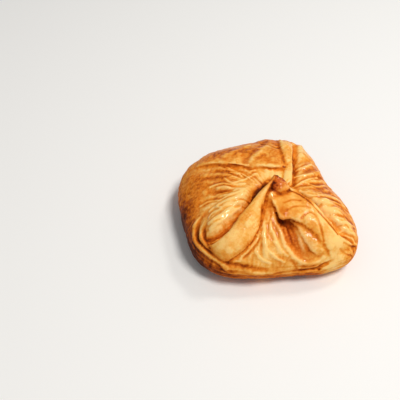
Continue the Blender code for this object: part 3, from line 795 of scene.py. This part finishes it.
class Crust:
    """Where each point of the skin lies among the folds, and the noises that vary it there."""

    def __init__(self, skin):
        points = skin.points
        self.skin = skin
        self.points = points
        self.x, self.y, self.z = points.T
        self.normals = skin.normals()
        self.convex = skin.standing_out(BROAD_ROUNDS)
        self.top = ramp(self.z, 12, 20)
        self.front = in_front_flap(points)
        self.leaf = footprint(points, LEAF_CREST, LEAF_TEAR)
        self.under_leaf = footprint(points, UNDERLEAF_CREST, UNDERLEAF_TEAR) * (1 - self.leaf)
        self.back_sheet = footprint(points, SHEET_EDGE, SHEET_BACK)
        pleat = footprint(points, PLEAT_CREST, PLEAT_FOOT)
        self.calm = np.maximum.reduce([pleat, self.leaf, 0.3 * self.back_sheet])
        knob_gap = np.linalg.norm(points - KNOB_MIDDLE, axis=1)
        self.knob = bell(knob_gap, KNOB_REACH, 4) * (1 - 0.8 * self.calm)

        warp = Grain(3).layered(points / 9.0, 2)
        self.coarse = Grain(8).layered(points / 14.0, 3)
        self.middling = Grain(9).layered(points / 4.0 + 0.3 * warp[:, None], 3)
        self.fine = Grain(10).layered(points / GRAIN_SIZE, 2)
        self.layers = Grain(12).at(points / LAYER_SIZE)
        self.streaks, self.streak_strength = self.radial_streaks(warp)
        self.line_lift, self.line_tone = self.drawn_lines()

    def radial_streaks(self, warp):
        """Ridges that run towards the knob, and how strong they are on each part of the crust."""
        away, turn = about_knob(self.points)
        radial = np.stack([turn * 9 + 0.4 * warp, away / 22.0, 0.2 * warp], axis=-1)
        soft = Grain(7).layered(radial, 2)
        patches = np.clip(0.6 + 1.4 * Grain(15).at(self.points / 11.0), 0.15, 1.3)
        by_strap = ramp(self.x, 12, 18) * ramp(self.y, -10, -4)
        strength = (
            ramp(away, 8, 20) * self.top * patches
            * (1 - 0.75 * self.calm) * (1 - 0.9 * self.back_sheet) * (1 - 0.6 * self.front)
            * (1 - 0.6 * ramp(self.x, -22, -34) - 0.3 * ramp(self.y, 4, 14))
            * (1 - 0.5 * by_strap)
        )
        return 0.55 - 1.3 * np.abs(soft) + 0.6 * soft, strength

    def drawn_lines(self):
        """Lift and browning of all the fine lines, broken here and there."""
        broken = np.clip(0.9 + 0.6 * Grain(16).at(self.points / 7.0), 0.5, 1.2)
        lift = np.zeros(len(self.points))
        tones = np.zeros(len(self.points))
        for line, rise, half_width, tone in fold_lines(self.skin):
            close = near_line(self.points, line, np.ones(len(line)), half_width) * broken
            lift += rise * close
            tones += tone * close
        return lift, tones

    def lift(self):
        """Fine relief in millimetres."""
        mottled = 0.24 * self.middling + 0.05 * self.fine
        blistered = 0.6 * self.middling + 0.1 * self.fine
        return (
            self.line_lift
            + 0.48 * self.streaks * self.streak_strength
            + 0.5 * self.coarse * (1 - self.calm)
            + mottled * (1 - 0.6 * self.calm) * (0.5 + 0.5 * self.top)
            + 0.22 * self.layers * (1 - self.top) * ramp(self.z, 2, 7)
            + blistered * self.knob
        )

    def browning_and_shade(self):
        """How brown the crust is painted, from 0 to about 1: its bake, with painted shade and highlights.
        """
        steep = np.clip(1 - self.normals[:, 2], 0, 1)
        brown = (
            0.46 + 0.20 * self.coarse + 0.14 * self.middling
            # Paler along the streaks' ridges, partly as a painted highlight.
            - 0.15 * self.streaks * self.streak_strength
            + (0.08 + 0.14 * Grain(19).layered(self.points / 7.0, 3)) * self.back_sheet
            # Darker on steep sides and low down, partly their bake and partly painted shade on sides
            # turned from the light.
            + 0.22 * steep**1.2 + 0.10 * ramp(self.z, 27, 0)
            # Browner in broad hollows and paler on broad bulges, partly the crust's own tone and partly
            # painted shade and light.
            - np.clip(0.16 * self.convex, -0.26, 0.14)
            + 0.08 * self.under_leaf + self.line_tone
        )
        for x, y, radius, tone in BAKE_AND_LIGHT_SPOTS:
            brown += tone * spot(self.points, x, y, radius)
        # Darker low down near the table, less at the front right: partly the base's bake, partly painted
        # shade of the underside.
        front_right = ramp(self.x, 15, 30) * (self.y < 0)
        side = 0.16 * ramp(self.z, 17, 0) ** 1.2 + 0.16 * ramp(self.z, 5, 0)
        brown += side * (1 - 0.8 * front_right)
        brown -= np.maximum(brown - 0.66, 0) * 0.55 * self.top
        return brown + self.knob_browning() + self.shaded_side()

    def knob_browning(self):
        """The knob is browner, most of all behind and at its very tip."""
        behind = np.clip(self.normals @ KNOB_BACK - 0.35, 0, 1)
        tip_gap = np.linalg.norm(self.points - KNOB_TIP, axis=1)
        mottled = 0.36 + 0.34 * self.middling + 0.30 * behind
        return mottled * self.knob + 0.50 * bell(tip_gap, 3.0)

    def shaded_side(self):
        """Painted shade of a neighbouring pastry, with some darker bake, low on the front left side
        and a little round to the left.
        """
        share = np.hypot(self.x, self.y) / plan_radius(self.x, self.y)
        azimuth = np.degrees(np.arctan2(self.y, self.x))
        low = bell(azimuth + 138, 26) * ramp(share, 0.93, 1.0) * ramp(self.z, 22, 14)
        left = bell(azimuth + 156, 18) * ramp(share, 0.84, 0.97)
        return (0.28 * low + 0.32 * left) * (1 + 0.1 * self.middling)

    def redness(self):
        """1 on the knob, and some in the hollow beside the leaf."""
        red = self.knob.copy()
        for x, y in RED_SPOTS:
            red += 0.45 * spot(self.points, x, y, 5)
        return np.clip(red, 0, 1)

    def gloss(self, brown):
        """Where the egg wash shines: on ridges, in pools on the flaps, not in grooves or on dark crust."""
        pools = np.clip(0.55 + 0.65 * Grain(18).at(self.points / 8.0), 0, 1)
        wash = np.maximum.reduce([
            pools * (1 - 0.8 * self.calm) * self.top,
            0.6 * self.front * (1 - self.calm) * self.top,
            1.2 * np.clip(self.streaks, 0, 1) * self.streak_strength,
            0.4 * self.back_sheet,
        ] + [spot(self.points, x, y, radius) for x, y, radius in WET_SPOTS])
        facing_up = ramp(self.normals[:, 2], 0.3, 0.8) * ramp(self.x, -48, -34)
        raised = np.clip(1.0 + 3.0 * self.convex, 0, 1)
        light = np.maximum(np.clip(2.3 - 2.4 * brown, 0, 1), 0.7 * self.knob)
        return np.clip(wash * facing_up * raised * light, 0, 1)


def fold_lines(skin):
    """Fine lines along and beside the folds: points, rise, half width and browning."""
    for edge_a, edge_b, share, rise, half_width, tone in EDGE_LINES:
        yield between(edge_a, edge_b, share), rise, half_width, tone
    for path, rise, half_width, tone in SKIN_LINES:
        yield skin.laid(path), rise, half_width, tone
    for path in WRINKLES:
        yield skin.laid(path), WRINKLE_RISE, WRINKLE_HALF_WIDTH, WRINKLE_TONE


def bake_crust(settings):
    """The whole crust as one mesh, with its fine relief and how it is browned, painted shade and
    highlights included.
    """
    mesh = fused([
        pillow(settings.wrinkle_height / MM),
        sheet(PLEAT_CREST, PLEAT_FOOT, crown=2.2, thick_a=9, thick_b=5),
        sheet(LEAF_CREST, LEAF_TEAR, crown=1.2, thick_a=6, thick_b=1.7, ragged=0.6),
        sheet(UNDERLEAF_CREST, UNDERLEAF_TEAR, crown=0.6, thick_a=3, thick_b=2, ragged=0.5),
        sheet(SHEET_EDGE, SHEET_BACK, crown=0.8, thick_a=2.4, thick_b=3),
        sheet(STRAP_LEFT, STRAP_RIGHT, crown=0.8, thick_a=3, thick_b=3),
        knob(),
        throat(),
    ], settings.fineness)
    skin = Skin(mesh)
    skin.points = skin.smoothed(skin.points, VOXEL_ROUNDS)
    crust = Crust(skin)
    lift = crust.lift() + blister_lift(skin.points, settings.blisters)
    brown = crust.browning_and_shade()
    skin.store("blush", crust.redness())
    skin.store("gloss", crust.gloss(brown))
    above_table = ramp(skin.points[:, 2], 1.0, 4.0)
    skin.points = skin.points + crust.normals * (lift * above_table)[:, None]
    skin.points[:, 2] = np.maximum(skin.points[:, 2], 0.0)
    # Raised edges painted paler as painted highlights and sunk spots darker as painted shade, partly the
    # crust's own tone.
    edges = np.clip(skin.standing_out(FINE_ROUNDS), *EDGE_STAND)
    skin.store("brown", brown - EDGE_PALENESS * edges + settings.bake)
    skin.points[:, :2] -= OUTLINE_MIDDLE
    skin.write()
    return mesh


class Shade:
    """A shader socket that takes part in sums, so that a finish reads as an expression."""

    def __init__(self, tree, socket):
        self.tree = tree
        self.socket = socket

    @staticmethod
    def node(tree, kind, settings=None, inputs=None):
        """A new node, with its settings made before its sockets are given values or links."""
        node = tree.nodes.new(kind)
        for name, value in (settings or {}).items():
            if name == "stops":
                stops = node.color_ramp.elements
                while len(stops) < len(value):
                    stops.new(0.5)
                for stop, (place, tone) in zip(stops, value):
                    stop.position = place
                    stop.color = (*tone, 1.0)
            else:
                setattr(node, name, value)
        for name, value in (inputs or {}).items():
            if isinstance(value, Shade):
                tree.links.new(value.socket, node.inputs[name])
            else:
                node.inputs[name].default_value = value
        return node

    def maths(self, operation, a, b):
        node = self.node(self.tree, "ShaderNodeMath", {"operation": operation}, {0: a, 1: b})
        return Shade(self.tree, node.outputs[0])

    def __add__(self, other):
        return self.maths("ADD", self, other)

    def __sub__(self, other):
        return self.maths("SUBTRACT", self, other)

    def __mul__(self, other):
        return self.maths("MULTIPLY", self, other)

    def __rsub__(self, other):
        return self.maths("SUBTRACT", other, self)

    __radd__ = __add__
    __rmul__ = __mul__

    def clamped(self, low, high):
        node = self.node(self.tree, "ShaderNodeClamp", {}, {"Value": self, "Min": low, "Max": high})
        return Shade(self.tree, node.outputs[0])


def new_material(name):
    material = bpy.data.materials.new(name)
    material.use_nodes = True
    tree = material.node_tree
    return material, tree, tree.nodes["Principled BSDF"]


def attribute(tree, name):
    node = Shade.node(tree, "ShaderNodeAttribute", {"attribute_name": name})
    return Shade(tree, node.outputs["Fac"])


def noise(tree, place, scale, detail, roughness=0.55):
    node = Shade.node(tree, "ShaderNodeTexNoise", {}, {
        "Vector": place, "Scale": scale, "Detail": detail, "Roughness": roughness})
    return Shade(tree, node.outputs["Fac"])


def crust_material(settings):
    """Egg-washed puff pastry, from pale to dark where the browning attribute says; it holds painted shade
    too.
    """
    material, tree, shader = new_material("crust")
    coords = Shade.node(tree, "ShaderNodeTexCoord")
    place = Shade(tree, coords.outputs["Object"])
    cloud = noise(tree, place, 260.0, 5.0, 0.62)
    speck = noise(tree, place, 1000.0, 3.0, 0.7)
    fine = noise(tree, place, 2400.0, 2.0)
    brown = attribute(tree, "brown") + (cloud - 0.5) * 0.44 + (speck - 0.5) * 0.34
    baked = Shade.node(tree, "ShaderNodeValToRGB", {"stops": (
        (0.05, settings.pale), (0.32, settings.golden), (0.58, settings.amber),
        (0.82, settings.brown), (1.0, settings.dark))}, {"Fac": brown.clamped(0.0, 1.0)})
    red = Shade.node(tree, "ShaderNodeMix", {"data_type": "RGBA", "blend_type": "MULTIPLY"}, {
        "Factor": attribute(tree, "blush"),
        "A": Shade(tree, baked.outputs["Color"]), "B": (0.80, 0.52, 0.62, 1.0)})
    tree.links.new(red.outputs["Result"], shader.inputs["Base Color"])
    gloss = attribute(tree, "gloss")
    rough = (0.50 + (cloud - 0.5) * 0.5 - gloss * 0.14).clamped(0.25, 0.8)
    tree.links.new(rough.socket, shader.inputs["Roughness"])
    height = speck * 0.7 + fine * 0.3
    bump = Shade.node(tree, "ShaderNodeBump", {}, {
        "Strength": 0.45, "Distance": 0.0005, "Height": height})
    tree.links.new(bump.outputs["Normal"], shader.inputs["Normal"])
    coat = ((cloud - 0.28) * 3.0 * gloss).clamped(0.0, 1.0)
    tree.links.new(coat.socket, shader.inputs["Coat Weight"])
    shader.inputs["Coat Roughness"].default_value = 0.12
    shader.inputs["Coat IOR"].default_value = 1.55
    shader.inputs["Specular IOR Level"].default_value = 0.03
    shader.inputs["Subsurface Weight"].default_value = 0.12
    shader.inputs["Subsurface Radius"].default_value = (1.0, 0.45, 0.15)
    shader.inputs["Subsurface Scale"].default_value = 0.0015
    return material


class PASTRY_OT_bake_crust(bpy.types.Operator):
    """Make the folded crust with its wrinkles, blisters and browning"""

    bl_idname = "pastry.bake_crust"
    bl_label = "Bake Crust"

    def execute(self, context):
        settings = context.scene.pastry_settings
        mesh = bake_crust(settings)
        mesh.name = "baked_crust"
        mesh.shade_smooth()
        mesh.materials.clear()
        mesh.materials.append(crust_material(settings))
        obj = bpy.data.objects.new("baked_crust", mesh)
        context.scene.collection.objects.link(obj)
        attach(obj, "root")
        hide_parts("pastry")
        return {"FINISHED"}


class PASTRY_OT_set_stage(bpy.types.Operator):
    """Lay the pale table and set the soft lights and the camera"""

    bl_idname = "pastry.set_stage"
    bl_label = "Set Stage"

    def execute(self, context):
        settings = context.scene.pastry_settings
        lay_table(context, settings)
        hang_lights(context, settings)
        set_camera(context)
        context.scene.view_settings.view_transform = "Standard"
        return {"FINISHED"}


def lay_table(context, settings):
    bm = bmesh.new()
    bmesh.ops.create_grid(bm, x_segments=1, y_segments=1, size=3.0)
    mesh = bpy.data.meshes.new("table")
    bm.to_mesh(mesh)
    bm.free()
    material, _, shader = new_material("table")
    shader.inputs["Base Color"].default_value = (*settings.table, 1.0)
    shader.inputs["Roughness"].default_value = 0.8
    mesh.materials.append(material)
    obj = bpy.data.objects.new("table", mesh)
    context.scene.collection.objects.link(obj)


def hang_lights(context, settings):
    world = bpy.data.worlds.new("room")
    world.use_nodes = True
    sky = world.node_tree.nodes["Background"]
    sky.inputs["Color"].default_value = (1.0, 1.0, 1.0, 1.0)
    sky.inputs["Strength"].default_value = settings.sky
    context.scene.world = world
    for name, place, size, power in (
        ("key", (0.42, -0.30, 1.18), 0.4, settings.key_power),
        ("rear", (0.52, 0.38, 0.92), 0.2, settings.rear_power),
    ):
        light = bpy.data.lights.new(name, "AREA")
        light.shape = "DISK"
        light.size = size
        light.energy = power
        light.color = (1.0, 0.97, 0.93)
        obj = bpy.data.objects.new(name, light)
        obj.location = place
        towards = Vector((0, 0, 0.02)) - obj.location
        obj.rotation_euler = towards.to_track_quat("-Z", "Y").to_euler()
        context.scene.collection.objects.link(obj)


def set_camera(context):
    """Looks down at the front, with the pastry's middle at its pixel of the picture."""
    drop = math.radians(CAMERA_DROP)
    turn = Matrix.Rotation(math.pi / 2 - drop, 3, "X")
    right, up, back = turn.col
    pixel = CAMERA_DISTANCE / FOCAL_PIXELS
    middle_x, middle_y = (place - PICTURE_PIXELS / 2 for place in MIDDLE_PIXEL)
    middle = Vector((-OUTLINE_MIDDLE[0], -OUTLINE_MIDDLE[1], 0.0))
    camera = bpy.data.cameras.new("camera")
    camera.sensor_width = SENSOR_WIDTH
    camera.lens = SENSOR_WIDTH * FOCAL_PIXELS / PICTURE_PIXELS
    camera.clip_start = 0.01
    obj = bpy.data.objects.new("camera", camera)
    place = middle + back * CAMERA_DISTANCE - right * middle_x * pixel + up * middle_y * pixel
    obj.location = place * MM
    obj.rotation_euler = turn.to_euler()
    context.scene.collection.objects.link(obj)
    context.scene.camera = obj


class PASTRY_PT_panel(bpy.types.Panel):
    """Lists the pastry's settings and steps"""

    bl_idname = "PASTRY_PT_panel"
    bl_label = "Cheese Pastry"
    bl_space_type = "VIEW_3D"
    bl_region_type = "UI"
    bl_category = "Pastry"

    def draw(self, context):
        settings = context.scene.pastry_settings
        for name in settings.bl_rna.properties.keys():
            if name not in ("rna_type", "name"):
                self.layout.prop(settings, name)
        for operator in (PASTRY_OT_bake_crust, PASTRY_OT_set_stage):
            self.layout.operator(operator.bl_idname)


CLASSES = (PastrySettings, PASTRY_OT_bake_crust, PASTRY_OT_set_stage, PASTRY_PT_panel)


def register():
    for cls in CLASSES:
        bpy.utils.register_class(cls)
    bpy.types.Scene.pastry_settings = PointerProperty(type=PastrySettings)


def unregister():
    del bpy.types.Scene.pastry_settings
    for cls in reversed(CLASSES):
        bpy.utils.unregister_class(cls)


def main():
    register()
    bpy.ops.pastry.bake_crust()
    bpy.ops.pastry.set_stage()
    bpy.context.view_layer.update()


if __name__ == "__main__":
    main()
